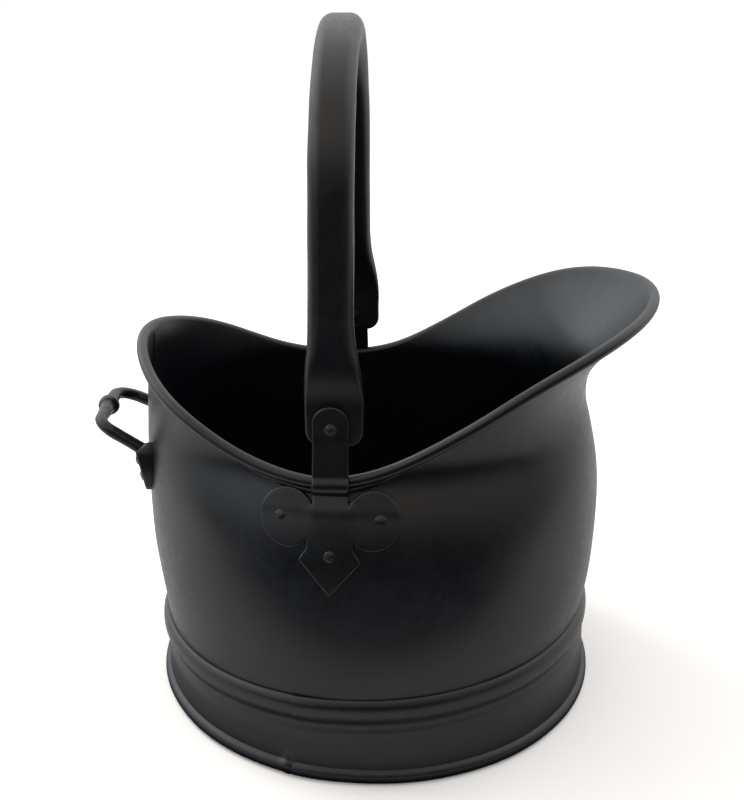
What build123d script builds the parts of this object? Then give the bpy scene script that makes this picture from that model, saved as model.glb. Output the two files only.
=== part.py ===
"""Helmet coal bucket: sheet-steel body, foot band, riveted side straps, swinging bail and tipping handle.

Millimetres. +Z is up, +X points to the spout and the origin is the centre of the foot ring on the floor.
"""

import os
from math import asin, cos, pi, radians, sin

from build123d import *

os.makedirs("parts", exist_ok=True)

# Body sheet
base_radius = 143.5
spout_height = 272.0
body_bottom = 13.0
body_sheet = 1.0

# Body levels above the foot: height as a share of the spout height, then the reach to the back, the reach
# to the spout, the half width and the forward place of the widest line as shares of the base radius
body_shares = [
    (0.276, 1.025, 1.010, 1.000, 0.000),
    (0.386, 1.052, 1.030, 0.983, -0.007),
    (0.496, 1.061, 1.033, 0.944, -0.028),
    (0.588, 1.062, 1.020, 0.892, -0.049),
    (0.654, 1.060, 0.996, 0.828, -0.063),
    (0.699, 1.057, 0.976, 0.791, -0.070),
    (0.746, 1.051, 0.955, 0.802, -0.070),
    (0.794, 1.044, 0.952, 0.843, -0.070),
    (0.846, 1.036, 0.998, 0.899, -0.070),
    (0.901, 1.042, 1.083, 0.944, -0.070),
    (0.956, 1.052, 1.172, 0.976, -0.070),
    (1.029, 1.073, 1.298, 0.990, -0.070),
]
outline_points = 16

# Mouth seen from the side: forward place as a share of the base radius, height as a share of the spout height
mouth_shares = [
    (-1.220, 0.960),
    (-0.976, 0.858),
    (-0.767, 0.793),
    (-0.557, 0.734),
    (-0.348, 0.696),
    (-0.174, 0.685),
    (0.000, 0.700),
    (0.209, 0.751),
    (0.418, 0.819),
    (0.627, 0.888),
    (0.836, 0.940),
    (1.045, 0.979),
    (1.150, 0.984),
    (1.240, 0.980),
    (1.400, 0.968),
]

# Wired rim: the sheet is rolled outward round a wire
rim_wire_radius = 1.95
rim_bead_radius = 3.0
rim_bead_bite = 0.9
rim_points = 20
wire_clearance = 0.05

# Lap seam of the body sheet, inside at the back
body_seam_width = 16.0
body_seam_below_rim = 12.0

# Bottom plate, flanged down inside the body
bottom_height = 17.0
bottom_sheet = 1.0
bottom_flange = 7.0
bottom_bend = 3.0
bottom_gap = 0.3

# Foot band with its swage, cove and wired bead
fit_gap = 0.1
band_sheet = 1.0
band_top = 51.0
swage_height = 43.4
swage_half_height = 6.4
swage_stand = 2.8
cove_drop = 4.2
cove_stand = 0.6
band_flare = 1.7
foot_bead_radius = 4.7
foot_bead_stand = 0.7
foot_wire_radius = 3.6
foot_flat_depth = 0.35
band_seam_angle = -110.3
band_seam_spread = 3.4
band_seam_step = 0.9

# Side straps and the bail's pivots
bail_place = -22.0
pivot_height = 220.0
pivot_half_span = 113.5
strap_width = 21.2
strap_sheet = 2.4
strap_above_pivot = 14.0
strap_bend = 3.0
strap_rim_gap = 0.35
strap_step_rise = 7.5
strap_step_drop = 2.4
strap_foot_drop = 21.0
strap_lap = 8.0

# Fleur-de-lis plate, measured from the strap's centre line and the floor
plate_sheet = 2.0
lobe_radius = 16.0
lobe_offset = 22.8
lobe_height = 166.0
leaf_notch_offset = 13.9
leaf_notch_height = 152.5
leaf_shoulder_offset = 17.1
leaf_shoulder_height = 144.5
leaf_side_offset = 9.6
leaf_side_height = 134.5
leaf_tip_height = 124.0

# Rivets
plate_rivet_offset = 28.8
plate_rivet_height = 169.0
leaf_rivet_height = 147.0
rivet_head = 3.3
rivet_dome = 1.7
rivet_shank = 2.0
rivet_tail = 2.9
rivet_tail_length = 0.9
rivet_gap = 0.12
pivot_rivet_head = 3.8
pivot_rivet_dome = 2.0
pivot_rivet_shank = 2.5
pivot_tail = 4.0
pivot_tail_length = 1.4
pivot_clearance = 0.06

# Bail handle: a flattened oval tube with flat ends inside the straps
bail_width = 25.8
bail_depth = 18.0
bail_corner = 8.2
bail_apex_height = 431.0
bail_lean = 8.2
bail_limb_start = 283.0
bail_limb_place = 104.5
bail_swell_height = 259.0
bail_swell_place = 110.0
bail_swell_width = 30.0
bail_swell_depth = 14.0
bail_swell_corner = 6.5
bail_end_top = 238.0
bail_end_width = 34.0
bail_end_sheet = 5.0
bail_end_edge = 2.3
bail_end_corner = 9.0
bail_end_drop = 11.5
bail_end_shift = 2.0
bail_side_gap = 0.3

# Tipping handle at the back
grip_place = -181.3
grip_height = 187.5
grip_half_span = 35.0
rod_radius = 3.3
grip_bend = 9.0
knob_radius = 6.4
knob_collar = 4.4
knob_collar_length = 2.4
leg_root_place = -143.0
leg_root_height = 169.4
lug_bottom = 144.5
lug_top = 178.0
lug_bottom_stand = 4.2
lug_top_stand = 7.4
lug_half_width = 8.0
lug_rivet_heights = (165.0, 154.0)
# Half the lug's outline from its tip: share of the half width, share of the height
lug_shares = [(0.0, 0.0), (0.62, 0.18), (1.0, 0.55), (0.45, 1.0)]

overrun = 40.0
up = Vector(0, 0, 1)


def level_points(row, grow):
    """Points of one body level, moved outward by grow."""
    height_share, back_share, front_share, side_share, middle_share = row
    middle = middle_share * base_radius
    back = back_share * base_radius + middle + grow
    front = front_share * base_radius - middle + grow
    side = side_share * base_radius + grow
    points = []
    for step in range(outline_points):
        turn = 2 * pi * step / outline_points
        reach = front if cos(turn) > 0 else back
        points.append((middle + reach * cos(turn), side * sin(turn)))
    return points


def body_core(grow):
    """The body's outline as a filled solid, moved outward by grow and carried on above the mouth."""
    with BuildPart() as core:
        for height in (body_bottom, (body_bottom + band_top) / 2, band_top):
            with BuildSketch(Plane.XY.offset(height)):
                with BuildLine():
                    Spline(*level_points((0, 1, 1, 1, 0), grow), periodic=True)
                make_face()
        for row in body_shares:
            with BuildSketch(Plane.XY.offset(row[0] * spout_height)):
                with BuildLine():
                    Spline(*level_points(row, grow), periodic=True)
                make_face()
        loft()
    return core.part


# All that lies above the mouth's curve
with BuildPart() as above_mouth:
    with BuildSketch(Plane.XZ):
        with BuildLine():
            mouth = Spline(*[(x * base_radius, z * spout_height) for x, z in mouth_shares])
            high = spout_height + overrun
            Polyline(mouth @ 0, ((mouth @ 0).X, high), ((mouth @ 1).X, high), mouth @ 1)
        make_face()
    extrude(amount=base_radius + overrun, both=True)


def body_solid(grow):
    """The filled body, moved outward by grow and cut off at the mouth."""
    with BuildPart() as solid:
        add(body_core(grow))
        add(above_mouth.part, mode=Mode.SUBTRACT)
    return solid.part


def mouth_half(solid):
    """A smooth line along the solid's cut edge at the mouth, from the back round the left side to the spout."""
    with BuildPart() as left_half:
        add(solid)
        split(bisect_by=Plane.XZ, keep=Keep.BOTTOM)
    cut = left_half.faces().sort_by(Axis.Z)[-1]
    edge = cut.edges().filter_by(lambda edge: (edge @ 0.5).Y > body_sheet)[0]
    points = [edge @ (step / rim_points) for step in range(rim_points + 1)]
    if points[0].X > points[-1].X:
        points.reverse()
    return Edge.make_spline(points, tangents=[(0, 1, 0), (0, -1, 0)], scale=False)


body_outer = body_solid(0)
rim_half = mouth_half(body_solid(rim_bead_radius - rim_bead_bite))


def rim_ring(radius):
    """A round ring of the given radius along the rim."""
    with BuildPart() as ring:
        for step in range(rim_points + 1):
            along = rim_half % (step / rim_points)
            with BuildSketch(Plane(origin=rim_half @ (step / rim_points), x_dir=up.cross(along), z_dir=along)):
                Circle(radius)
        loft()
        mirror(about=Plane.XZ)
    return ring.part


def wall_point(origin, direction):
    """The point and outward normal where a line from inside leaves the body's wall."""
    line = Axis(origin, direction)
    hits = []
    for face in body_outer.faces():
        hits += face.find_intersection_points(line)
    return max(hits, key=lambda hit: (hit[0] - Vector(*origin)).dot(Vector(*direction)))


def rivet(seat, normal, grip, head, dome, shank, tail, tail_length):
    """A domed rivet: its head lies on the seat, its shank runs in against the normal and its tail closes it."""
    across = Plane(origin=seat, z_dir=normal).x_dir
    ball = (head**2 + dome**2) / (2 * dome)
    half_turn = asin(head / ball) / 2
    with BuildPart() as pin:
        with BuildSketch(Plane(origin=seat, x_dir=across, z_dir=across.cross(normal))):
            with BuildLine():
                ThreePointArc((0, dome), (ball * sin(half_turn), dome - ball * (1 - cos(half_turn))), (head, 0))
                Polyline((head, 0), (shank, 0), (shank, -grip), (tail, -grip))
                Polyline((tail, -grip), (tail, -grip - tail_length), (0, -grip - tail_length), (0, dome))
            make_face()
        revolve(axis=Axis(seat, normal))
    return pin.part


def rivet_hole(seat, normal, grip, radius):
    """A cylinder that cuts the hole of a rivet, from above its seat to past its tail."""
    with BuildPart() as hole:
        with BuildSketch(Plane(origin=seat + normal * rivet_gap, z_dir=-normal)):
            Circle(radius)
        extrude(amount=grip + rivet_head)
    return hole.part


# Rivets of the fleur-de-lis plates: name, seat, normal and the thickness that each one grips
plate_stand = fit_gap + plate_sheet + rivet_gap
plate_grip = plate_stand + body_sheet + rivet_gap
wall_rivets = []
for side_name, side in (("left", 1), ("right", -1)):
    for place_name, offset, height in (
        ("back", -plate_rivet_offset, plate_rivet_height),
        ("front", plate_rivet_offset, plate_rivet_height),
        ("leaf", 0, leaf_rivet_height),
    ):
        foot, normal = wall_point((bail_place + offset, 0, height), (0, side, 0))
        wall_rivets.append((f"{side_name}_{place_name}_rivet", foot + normal * plate_stand, normal, plate_grip))

# Tipping handle's lugs: their frame on the wall, and the rivets that hold them
lug_middle = (lug_top + lug_bottom) / 2
lug_foot, lug_normal = wall_point((0, grip_half_span, lug_middle), (-1, 0, 0))
lug_out = Vector(lug_normal.X, lug_normal.Y, 0).normalized()
lug_origin = Vector(lug_foot.X, lug_foot.Y, 0)
lug_slope = (lug_top_stand - lug_bottom_stand) / (lug_top - lug_bottom)
for place_name, height in zip(("upper", "lower"), lug_rivet_heights):
    stand = lug_bottom_stand + lug_slope * (height - lug_bottom)
    for side_name, side in (("left", 1), ("right", -1)):
        seat = lug_origin + lug_out * stand + up * height
        normal = (lug_out - up * lug_slope).normalized()
        inner, _ = wall_point(seat - normal * overrun, normal)
        grip = (seat - inner).length + body_sheet + rivet_gap + rivet_tail * lug_slope
        seat = Vector(seat.X, side * seat.Y, seat.Z)
        normal = Vector(normal.X, side * normal.Y, normal.Z)
        seat += normal * rivet_gap
        name = f"handle_{side_name}_{place_name}_rivet"
        wall_rivets.append((name, seat, normal, grip + rivet_gap))

with BuildPart() as rivet_holes:
    for name, seat, normal, grip in wall_rivets:
        add(rivet_hole(seat, normal, grip, rivet_shank + wire_clearance))

for name, seat, normal, grip in wall_rivets:
    pin = rivet(seat, normal, grip, rivet_head, rivet_dome, rivet_shank, rivet_tail, rivet_tail_length)
    pin.label = name
    export_step(pin, f"parts/{name}.step")

# Body shell with its rolled rim and lap seam
seam_top = spout_height * mouth_shares[1][1] - body_seam_below_rim
seam_bottom = bottom_height + bottom_bend
with BuildPart() as body_seam:
    add(body_core(-body_sheet / 2))
    add(body_core(-2 * body_sheet), mode=Mode.SUBTRACT)
    with BuildSketch(Plane.XY.offset(seam_bottom)):
        with Locations((-base_radius, 0)):
            Rectangle(2 * overrun, body_seam_width)
    extrude(amount=seam_top - seam_bottom, mode=Mode.INTERSECT)

with BuildPart() as rolled_edge:
    add(rim_ring(rim_bead_radius))
    add(rim_ring(rim_wire_radius + wire_clearance), mode=Mode.SUBTRACT)

with BuildPart() as body_shell:
    add(body_outer)
    add(body_core(-body_sheet), mode=Mode.SUBTRACT)
    add(body_seam.part)
    add(rivet_holes.part, mode=Mode.SUBTRACT)
    add(rolled_edge.part)

body_shell.part.label = "body_shell"
export_step(body_shell.part, "parts/body_shell.step")

rim_wire = rim_ring(rim_wire_radius)
rim_wire.label = "rim_wire"
export_step(rim_wire, "parts/rim_wire.step")

# Bottom plate
bottom_radius = base_radius - body_sheet - bottom_gap
with BuildPart() as bottom_plate:
    with BuildSketch(Plane.XZ) as plate_section:
        with BuildLine():
            Polyline(
                (0, bottom_height),
                (bottom_radius, bottom_height),
                (bottom_radius, bottom_height - bottom_flange),
                (bottom_radius - bottom_sheet, bottom_height - bottom_flange),
                (bottom_radius - bottom_sheet, bottom_height - bottom_sheet),
                (0, bottom_height - bottom_sheet),
                close=True,
            )
        make_face()
        corners = plate_section.vertices().sort_by(Axis.Y)
        outer_corner = corners.group_by(Axis.Y)[-1].sort_by(Axis.X)[-1]
        inner_corner = corners.group_by(Axis.Y)[-2].sort_by(Axis.X)[-1]
        fillet(outer_corner, bottom_bend)
        fillet(inner_corner, bottom_bend - bottom_sheet)
    revolve(axis=Axis.Z)
bottom_plate.part.label = "bottom_plate"
export_step(bottom_plate.part, "parts/bottom_plate.step")

# Foot band
band_radius = base_radius + fit_gap + band_sheet
foot_bead_place = band_radius + foot_bead_stand
foot_bead_height = foot_bead_radius - foot_flat_depth
wire_hole_radius = foot_wire_radius + wire_clearance
band_end = foot_bead_height + (foot_bead_radius + wire_hole_radius) / 2
cove_height = swage_height - swage_half_height - cove_drop


def band_line(inset):
    """The band's section line, moved in by inset, from its top edge down to the bead."""
    hug = band_radius - inset
    Line((hug, band_top), (hug, swage_height + swage_half_height))
    ThreePointArc(
        (hug, swage_height + swage_half_height),
        (hug + swage_stand, swage_height),
        (hug + cove_stand, swage_height - swage_half_height),
    )
    Line((hug + cove_stand, swage_height - swage_half_height), (hug + cove_stand, cove_height))
    Line((hug + cove_stand, cove_height), (hug + band_flare, band_end))


with BuildPart() as foot_band:
    with BuildSketch(Plane.XZ):
        with BuildLine():
            band_line(0)
            band_line(band_sheet)
            Line((band_radius, band_top), (band_radius - band_sheet, band_top))
            Line((band_radius + band_flare, band_end), (band_radius + band_flare - band_sheet, band_end))
        make_face()
        with Locations((foot_bead_place, foot_bead_height)):
            Circle(foot_bead_radius)
    revolve(axis=Axis.Z)
    seam_out = Vector(cos(radians(band_seam_angle)), sin(radians(band_seam_angle)), 0)
    with BuildSketch(Plane(origin=(0, 0, 0), x_dir=seam_out, z_dir=seam_out.cross(up))):
        with Locations((foot_bead_place, foot_bead_height)):
            Circle(foot_bead_radius + band_seam_step)
    revolve(axis=Axis.Z, revolution_arc=band_seam_spread)
    with BuildSketch(Plane.XZ):
        with Locations((foot_bead_place, foot_bead_height)):
            Circle(wire_hole_radius)
    revolve(axis=Axis.Z, mode=Mode.SUBTRACT)
    with BuildSketch(Plane.XY):
        Circle(foot_bead_place + overrun)
    extrude(amount=-overrun, mode=Mode.SUBTRACT)
foot_band.part.label = "foot_band"
export_step(foot_band.part, "parts/foot_band.step")

with BuildPart() as foot_wire:
    with BuildSketch(Plane.XZ):
        with Locations((foot_bead_place, foot_bead_height)):
            Circle(foot_wire_radius)
    revolve(axis=Axis.Z)
foot_wire.part.label = "foot_wire"
export_step(foot_wire.part, "parts/foot_wire.step")

# Side straps with their fleur-de-lis plates
rim_marks = [rim_half @ (step / spout_height) for step in range(int(spout_height) + 1)]
rim_near = min(rim_marks, key=lambda mark: abs(mark.X - bail_place - strap_width / 2))
strap_out = rim_near.Y + rim_bead_radius + strap_rim_gap
step_top = rim_near.Z + rim_bead_radius + strap_step_rise
step_bottom = rim_near.Z + rim_bead_radius
bead_bottom = rim_near.Z - rim_bead_radius - strap_step_drop
strap_foot = rim_near.Z - strap_foot_drop
foot_wall, _ = wall_point((bail_place, 0, strap_foot + strap_lap), (0, 1, 0))
toe_wall, _ = wall_point((bail_place, 0, strap_foot), (0, 1, 0))
strap_top = pivot_height + strap_above_pivot
strap_points = [
    (pivot_half_span, strap_top),
    (pivot_half_span, step_top),
    (strap_out, step_bottom),
    (strap_out, bead_bottom),
    (foot_wall.Y + fit_gap, foot_wall.Z),
    (toe_wall.Y + fit_gap, toe_wall.Z),
]
strap_outer_points = [(y + strap_sheet, z) for y, z in reversed(strap_points)]

with BuildPart() as plate_layer:
    add(body_core(fit_gap + plate_sheet))
    add(body_core(fit_gap), mode=Mode.SUBTRACT)
    with BuildSketch(Plane.XZ.offset(-overrun)):
        with Locations((bail_place - lobe_offset, lobe_height), (bail_place + lobe_offset, lobe_height)):
            Circle(lobe_radius)
        with BuildLine():
            for way in (-1, 1):
                Spline(
                    (bail_place + way * leaf_notch_offset, leaf_notch_height),
                    (bail_place + way * leaf_shoulder_offset, leaf_shoulder_height),
                    (bail_place + way * leaf_side_offset, leaf_side_height),
                    (bail_place, leaf_tip_height),
                )
                Line(
                    (bail_place + way * leaf_notch_offset, leaf_notch_height),
                    (bail_place + way * leaf_notch_offset, lobe_height),
                )
            Line(
                (bail_place - leaf_notch_offset, lobe_height),
                (bail_place + leaf_notch_offset, lobe_height),
            )
        make_face()
        with Locations((bail_place, (lobe_height + foot_wall.Z) / 2)):
            Rectangle(strap_width, foot_wall.Z - lobe_height)
    extrude(amount=-base_radius, mode=Mode.INTERSECT)

with BuildPart() as wall_below_rim:
    add(body_core(fit_gap))
    split(bisect_by=Plane.XY.offset(bead_bottom), keep=Keep.BOTTOM)

with BuildPart() as left_strap:
    with BuildSketch(Plane.YZ.offset(bail_place)) as strap_section:
        with BuildLine():
            Polyline(*strap_points, *strap_outer_points, close=True)
        make_face()
        bends = strap_section.vertices().filter_by(lambda corner: toe_wall.Z < corner.Y < strap_top)
        fillet(bends, strap_bend)
    extrude(amount=strap_width / 2, both=True)
    with BuildSketch(Plane.XZ.offset(-overrun)):
        with Locations((bail_place, strap_top - strap_width / 2)):
            Circle(strap_width / 2)
        with Locations((bail_place, (strap_top - strap_width / 2 + leaf_tip_height) / 2)):
            Rectangle(strap_width, strap_top - strap_width / 2 - leaf_tip_height)
    extrude(amount=-base_radius, mode=Mode.INTERSECT)
    add(wall_below_rim.part, mode=Mode.SUBTRACT)
    add(plate_layer.part)
    add(rivet_holes.part, mode=Mode.SUBTRACT)
    with BuildSketch(Plane.XZ.offset(-overrun)):
        with Locations((bail_place, pivot_height)):
            Circle(pivot_rivet_shank + wire_clearance)
    extrude(amount=-base_radius, mode=Mode.SUBTRACT)

with BuildPart() as right_strap:
    add(left_strap.part)
    mirror(about=Plane.XZ, mode=Mode.REPLACE)

for strap, name in ((left_strap, "left_strap"), (right_strap, "right_strap")):
    strap.part.label = name
    export_step(strap.part, f"parts/{name}.step")

# Pivot rivets
pivot_seat = pivot_half_span + strap_sheet
pivot_grip = strap_sheet + bail_side_gap + bail_end_sheet + bail_side_gap
for name, side in (("left_pivot_rivet", 1), ("right_pivot_rivet", -1)):
    seat = Vector(bail_place, side * pivot_seat, pivot_height)
    pin = rivet(
        seat,
        Vector(0, side, 0),
        pivot_grip,
        pivot_rivet_head,
        pivot_rivet_dome,
        pivot_rivet_shank,
        pivot_tail,
        pivot_tail_length,
    )
    pin.label = name
    export_step(pin, f"parts/{name}.step")

# Bail handle: one arc over the top, tangent to two limbs that lean in
lean = radians(bail_lean)
arc_height = bail_apex_height - bail_limb_place * cos(lean) - bail_limb_start * sin(lean)
arc_height /= 1 - sin(lean)
arc_radius = bail_apex_height - arc_height
arc_end = (arc_radius * cos(lean), arc_height + arc_radius * sin(lean))
end_middle = pivot_half_span - bail_side_gap - bail_end_sheet / 2
end_bottom = pivot_height - bail_end_drop
with BuildPart() as bail_handle:
    with BuildLine(Plane.YZ.offset(bail_place)):
        Line((bail_limb_place, bail_limb_start), arc_end)
        ThreePointArc(arc_end, (0, bail_apex_height), (-arc_end[0], arc_end[1]))
        Line((-arc_end[0], arc_end[1]), (-bail_limb_place, bail_limb_start))
    limb = Plane(
        origin=(bail_place, bail_limb_place, bail_limb_start),
        x_dir=(1, 0, 0),
        z_dir=(0, -sin(lean), cos(lean)),
    )
    with BuildSketch(limb):
        RectangleRounded(bail_width, bail_depth, bail_corner)
    sweep()
    with BuildSketch(limb):
        RectangleRounded(bail_width, bail_depth, bail_corner)
    swell = Plane(origin=(bail_place + bail_end_shift / 2, bail_swell_place, bail_swell_height), x_dir=(1, 0, 0))
    with BuildSketch(swell):
        RectangleRounded(bail_swell_width, bail_swell_depth, bail_swell_corner)
    end = Plane(origin=(bail_place + bail_end_shift, end_middle, bail_end_top), x_dir=(1, 0, 0))
    with BuildSketch(end):
        RectangleRounded(bail_end_width, bail_end_sheet, bail_end_edge)
    loft()
    with BuildSketch(end) as end_section:
        RectangleRounded(bail_end_width, bail_end_sheet, bail_end_edge)
    extrude(amount=end_bottom - bail_end_top)
    with BuildSketch(Plane.XZ.offset(-pivot_half_span)) as corner_waste:
        with Locations((bail_place + bail_end_shift, end_bottom + bail_end_corner / 2)):
            Rectangle(bail_end_width, bail_end_corner)
        with Locations(
            (bail_place + bail_end_shift - bail_end_width / 2 + bail_end_corner, end_bottom + bail_end_corner),
            (bail_place + bail_end_shift + bail_end_width / 2 - bail_end_corner, end_bottom + bail_end_corner),
        ):
            Circle(bail_end_corner, mode=Mode.SUBTRACT)
        with Locations((bail_place + bail_end_shift, end_bottom + bail_end_corner / 2)):
            Rectangle(bail_end_width - 2 * bail_end_corner, bail_end_corner, mode=Mode.SUBTRACT)
    extrude(amount=bail_side_gap + 2 * bail_end_sheet, mode=Mode.SUBTRACT)
    mirror(about=Plane.XZ)
    with BuildSketch(Plane.XZ):
        with Locations((bail_place, pivot_height)):
            Circle(pivot_rivet_shank + pivot_clearance)
    extrude(amount=base_radius, both=True, mode=Mode.SUBTRACT)
bail_handle.part.label = "bail_handle"
export_step(bail_handle.part, "parts/bail_handle.step")

# Tipping handle: a bent rod with a turned knob and two leaf lugs
with BuildPart() as rear_handle:
    with BuildLine() as rod_line:
        FilletPolyline(
            (leg_root_place, -grip_half_span, leg_root_height),
            (grip_place, -grip_half_span, grip_height),
            (grip_place, grip_half_span, grip_height),
            (leg_root_place, grip_half_span, leg_root_height),
            radius=grip_bend,
        )
    with BuildSketch(Plane(origin=rod_line.line @ 0, z_dir=rod_line.line % 0)):
        Circle(rod_radius)
    sweep()
    with BuildSketch(Plane.YZ.offset(grip_place)):
        with BuildLine():
            knob_end = (knob_radius**2 - knob_collar**2) ** 0.5
            collar_end = knob_end + knob_collar_length
            ThreePointArc(
                (-knob_end, grip_height + knob_collar),
                (0, grip_height + knob_radius),
                (knob_end, grip_height + knob_collar),
            )
            Line((knob_end, grip_height + knob_collar), (collar_end, grip_height + knob_collar))
            Line((collar_end, grip_height + knob_collar), (collar_end, grip_height))
            Line((collar_end, grip_height), (-collar_end, grip_height))
            Line((-collar_end, grip_height), (-collar_end, grip_height + knob_collar))
            Line((-collar_end, grip_height + knob_collar), (-knob_end, grip_height + knob_collar))
        make_face()
    revolve(axis=Axis((grip_place, 0, grip_height), (0, 1, 0)))
    with BuildPart(mode=Mode.PRIVATE) as lug:
        with BuildSketch(Plane(origin=lug_origin, x_dir=lug_out, z_dir=lug_out.cross(up))):
            with BuildLine():
                Polyline(
                    (lug_bottom_stand, lug_bottom),
                    (lug_top_stand, lug_top),
                    (-overrun / 2, lug_top),
                    (-overrun / 2, lug_bottom),
                    close=True,
                )
            make_face()
        extrude(amount=lug_half_width * 2, both=True)
        with BuildSketch(Plane(origin=lug_origin, x_dir=up.cross(lug_out), z_dir=lug_out)):
            with BuildLine():
                lug_height = lug_top - lug_bottom
                for way in (-1, 1):
                    Spline(*[(way * x * lug_half_width, lug_bottom + z * lug_height) for x, z in lug_shares])
                Line(
                    (-lug_shares[-1][0] * lug_half_width, lug_top),
                    (lug_shares[-1][0] * lug_half_width, lug_top),
                )
            make_face()
        extrude(amount=overrun, both=True, mode=Mode.INTERSECT)
    add(lug.part)
    mirror(lug.part, about=Plane.XZ)
    add(body_core(fit_gap), mode=Mode.SUBTRACT)
    add(rivet_holes.part, mode=Mode.SUBTRACT)
rear_handle.part.label = "rear_handle"
export_step(rear_handle.part, "parts/rear_handle.step")
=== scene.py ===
"""Looks of the helmet coal bucket: satin black enamelled sheet steel on a pale floor.

Metres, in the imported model's frame: +Z is up, +X points to the spout.
"""

from math import acos, asin, cos, pi, radians, sin, sqrt, tan

import bmesh
import bpy
import numpy as np
from mathutils import Matrix, Vector, geometry, noise


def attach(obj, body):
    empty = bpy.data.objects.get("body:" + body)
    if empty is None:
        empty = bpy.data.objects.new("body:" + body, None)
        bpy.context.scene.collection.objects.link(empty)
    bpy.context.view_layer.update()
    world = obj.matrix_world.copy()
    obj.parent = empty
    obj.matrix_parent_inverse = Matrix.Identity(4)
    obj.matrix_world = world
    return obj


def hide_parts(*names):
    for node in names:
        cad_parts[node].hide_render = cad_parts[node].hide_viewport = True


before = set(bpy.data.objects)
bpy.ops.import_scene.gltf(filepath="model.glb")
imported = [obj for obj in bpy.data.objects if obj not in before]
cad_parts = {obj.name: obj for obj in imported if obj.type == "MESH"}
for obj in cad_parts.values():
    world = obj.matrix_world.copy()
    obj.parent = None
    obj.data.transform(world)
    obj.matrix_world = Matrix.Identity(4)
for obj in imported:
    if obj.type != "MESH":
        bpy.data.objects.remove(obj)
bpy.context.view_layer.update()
scene = bpy.context.scene

# Camera, fitted to the photograph
frame_height = 800
focal_pixels = 1193
sensor_height = 36
camera_place = (0.0282, -0.7402, 0.4811)
camera_azimuth = 2.43
camera_down = 21.17
camera_roll = 0.12

# Body sheet: a level's shares are its height, back, front, side and forward shift, and a mouth
# point's are its forward place and height
base_radius = 0.1435
spout_height = 0.272
body_bottom = 0.013
band_top = 0.058
bottom_height = 0.017
band_lean = radians(1.95)
body_sheet = 0.001
body_shares = [
    (0.276, 1.025, 1.010, 1.000, 0.000),
    (0.386, 1.052, 1.030, 0.983, -0.007),
    (0.496, 1.061, 1.033, 0.944, -0.028),
    (0.588, 1.062, 1.020, 0.892, -0.049),
    (0.654, 1.060, 0.996, 0.828, -0.063),
    (0.699, 1.057, 0.976, 0.791, -0.070),
    (0.746, 1.051, 0.955, 0.802, -0.070),
    (0.794, 1.044, 0.953, 0.843, -0.070),
    (0.846, 1.036, 0.979, 0.899, -0.070),
    (0.901, 1.042, 1.057, 0.944, -0.070),
    (0.956, 1.052, 1.144, 0.997, -0.070),
    (1.029, 1.073, 1.228, 1.029, -0.070),
]
mouth_shares = [
    (-1.220, 0.960), (-0.976, 0.858), (-0.767, 0.793), (-0.557, 0.734), (-0.348, 0.696),
    (-0.174, 0.685), (0.000, 0.700), (0.209, 0.751), (0.418, 0.819), (0.627, 0.888),
    (0.836, 0.944), (1.045, 0.984), (1.150, 0.999), (1.240, 1.010), (1.400, 0.998),
]
body_columns = 400
wall_rows = 90
mouth_count = 800
rim_count = 2000
halvings = 40
side_blend = 6
tiny_step = 0.0001

# Slow unevenness of the sheet: share of the depth, waves round, waves up, start
wave_depth = 0.00022
wave_shares = [
    (1.0, 3, 4, 0),
    (0.7, 5, -9, 1.3),
    (0.35, 11, 13, 0.4),
    (0.25, 8, -21, 0),
]

# Rolled rim: bead and the smaller roll that the sheet's edge makes under it
bead_radius = 0.0035
bead_stand = 0.0025
bead_rows = 28
roll_radius = 0.0021
roll_depth = 0.0052
roll_stand = -0.0002
roll_rows = 14
roll_start = -1.4
roll_end = 1.1
rim_wire_radius = 0.0019
wire_sides = 16

# Lap seam inside at the back
seam_low = 0.02
seam_high = 0.2375
seam_width = 0.016
seam_edge = 0.017
seam_edge_height = 0.228
seam_lean = 0.33
seam_edge_least = 0.003
seam_rows = 90
seam_bed = 0.0007

# Foot band: its swage as places off the band's radius and heights
fit_gap = 0.0001
band_sheet = 0.001
band_radius = base_radius + fit_gap + band_sheet
swage_points = [
    (-0.0014, 0.0580), (-0.0002, 0.0578), (0.0006, 0.0572), (0.0012, 0.0563), (0.0018, 0.0554),
    (0.0023, 0.0544), (0.0027, 0.0532), (0.0029, 0.0520), (0.0030, 0.0508), (0.0030, 0.0495),
    (0.0029, 0.0482), (0.0026, 0.0468), (0.0021, 0.0453), (0.0014, 0.0437), (0.0007, 0.0421),
    (0.0002, 0.0407), (0.0000, 0.0394), (0.0001, 0.0381), (0.0003, 0.0369), (0.0006, 0.0356),
]
cove_stand = 0.0009
flat_heights = (0.034, 0.030, 0.026, 0.022)
band_flare = 0.0017
band_flare_shares = (0.35, 0.7, 1)
band_neck = 0.0100
band_inside_heights = (0.011, 0.020, 0.030)
band_edge_drop = 0.0003
band_edge_sheet = 0.0008
lean_start = 0.012
lean_full = 0.030
foot_bead_radius = 0.0052
foot_bead_place = band_radius
foot_bead_height = 0.00485
foot_bead_end = -1.5 * pi
foot_bead_rows = 34
band_columns = 720
seam_angle = -107.8
seam_slit = 0.04
lap_step = 0.0006
lap_fade = 15.0

# Crumpled corner of the band's lap: place and spread in degrees before the seam
crumple_place = 1.6
crumple_spread = 1.3
crumple_out = 0.0012
crumple_up = 0.0016
crumple_top = 0.013
crumple_fade = 0.004
crumple_floor = 0.0005

# The band out of round: depth, waves round, start in degrees
sway_waves = [(0.00012, 5, 0), (0.00008, 13, 40)]

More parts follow.
